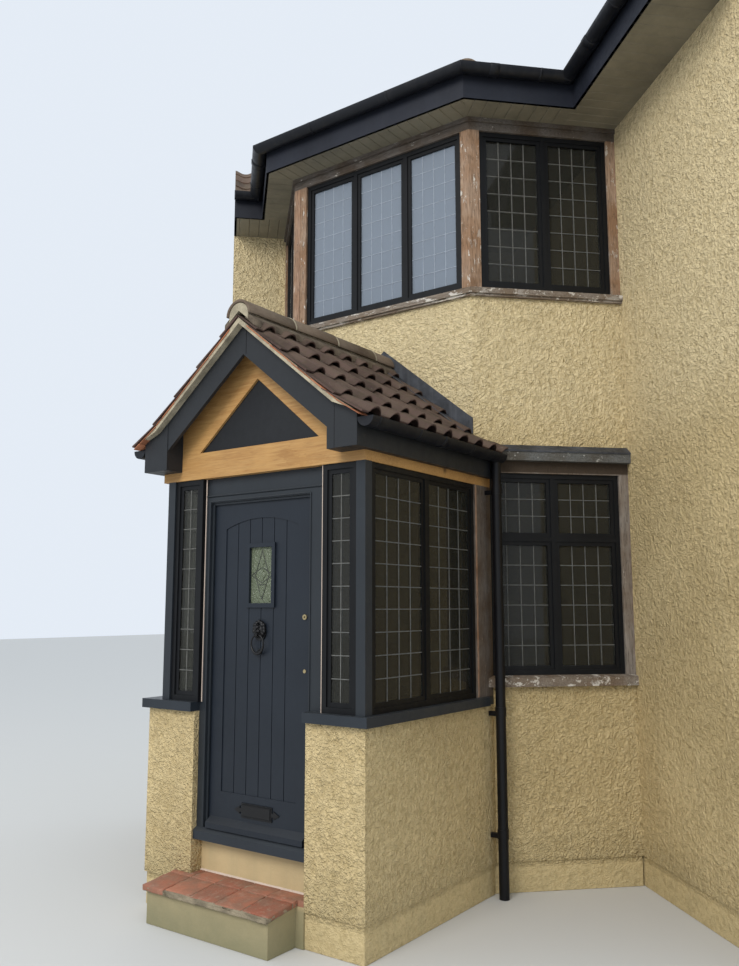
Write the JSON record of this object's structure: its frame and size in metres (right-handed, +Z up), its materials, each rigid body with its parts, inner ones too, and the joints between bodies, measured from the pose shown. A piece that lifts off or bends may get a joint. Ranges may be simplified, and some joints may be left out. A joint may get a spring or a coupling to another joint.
{
  "type": "corner bay window with gabled entrance porch",
  "caption": "Storeyed splayed corner bay of a roughcast house with leaded casement windows, boarded eaves and tiled roof, and a gabled, glazed entrance porch with a hinged door.",
  "frame": {"origin": "on the ground, under the outer face of the splayed wall, on the porch's centre line", "axes": "+X to the right along the splayed face seen from outside, +Y into the building, +Z up"},
  "size_m": [5.3487, 4.5745, 7.5074],
  "materials": {
    "roughcast": "coarse cream-yellow painted roughcast on brick, dusty at the foot",
    "smooth_render": "smooth cream painted render",
    "floor": "plain screeded and boarded floors",
    "white_board": "matt off-white ceiling board",
    "soffit_boards": "off-white tongued soffit boards, slightly grimy",
    "old_timber": "weathered brown timber with flakes of old white paint",
    "lead": "dull grey weathered lead sheet",
    "black_frame": "satin near-black window frames",
    "glass": "clear sealed glass units with lead lines",
    "bevelled_glass": "bevelled and textured door glass",
    "black_board": "satin black fascia board",
    "black_gutter": "black gutter and downpipe, dusty with a green edge",
    "roof_tile": "brown weathered clay pantiles",
    "mortar": "pale sand and cement mortar",
    "clay_tile": "worn red clay quarry tiles",
    "grey_paint": "satin anthracite grey paint",
    "new_oak": "new golden oak with open grain",
    "roof_boards": "dark roof boarding",
    "black_iron": "black satin door furniture",
    "brass": "worn brass lock rings",
    "steel": "brushed steel hinges"
  },
  "bodies": {
    "house": {"ground_floor": "floor", "front_wall_lower": "roughcast", "side_wall_lower": "roughcast", "splay_piers": "roughcast", "apron_wall": "roughcast", "house_wall": "roughcast", "wing_wall": "roughcast", "upper_floor": "floor", "bay_ceiling": "white_board", "window_posts": "old_timber", "window_head": "old_timber", "bay_cills": "old_timber", "lower_surrounds": "old_timber", "hood_boards": "old_timber", "lead_hoods": "lead", "upper_window_frames": "black_frame", "lower_window_frames": "black_frame", "upper_glass": "glass", "lower_glass": "glass", "soffit": "soffit_boards", "fascia": "black_board", "bay_gutter": "black_gutter", "roof_tiles": "roof_tile", "hip_tiles": "roof_tile", "porch_wall_left": "roughcast", "porch_wall_right": "roughcast", "step_base": "smooth_render", "step_tiles": "clay_tile", "threshold": "grey_paint", "porch_cills": "grey_paint", "corner_posts": "grey_paint", "wall_posts": "old_timber", "door_frame": "grey_paint", "porch_window_frames": "black_frame", "porch_glass": "glass", "oak_beams": "new_oak", "gable_rafters": "new_oak", "gable_panel": "grey_paint", "porch_ceiling": "white_board", "bargeboards": "grey_paint", "porch_eaves": "grey_paint", "porch_deck": "roof_boards", "verge_mortar": "mortar", "porch_tiles": "roof_tile", "ridge_tiles": "roof_tile", "step_flashing": "lead", "porch_gutters": "black_gutter", "downpipe": "black_gutter"},
    "door": {"door_leaf": "grey_paint", "door_glass": "bevelled_glass", "door_hinges": "steel", "letter_plate": "black_iron", "door_locks": "brass", "knocker_plate": "black_iron"},
    "knocker": {"knocker_ring": "black_iron"}
  },
  "joints": [
    {"name": "door_hinge", "type": "hinge", "parent": "house", "child": "door", "pos_m": [-0.395, -1.2947, 0.58], "axis": [0, 0, 1], "range_deg": [0, 90]},
    {"name": "knocker_swing", "type": "hinge", "parent": "door", "child": "knocker", "pos_m": [0.025, -1.37, 1.73], "axis": [-1, 0, 0], "range_deg": [0, 75]}
  ]
}
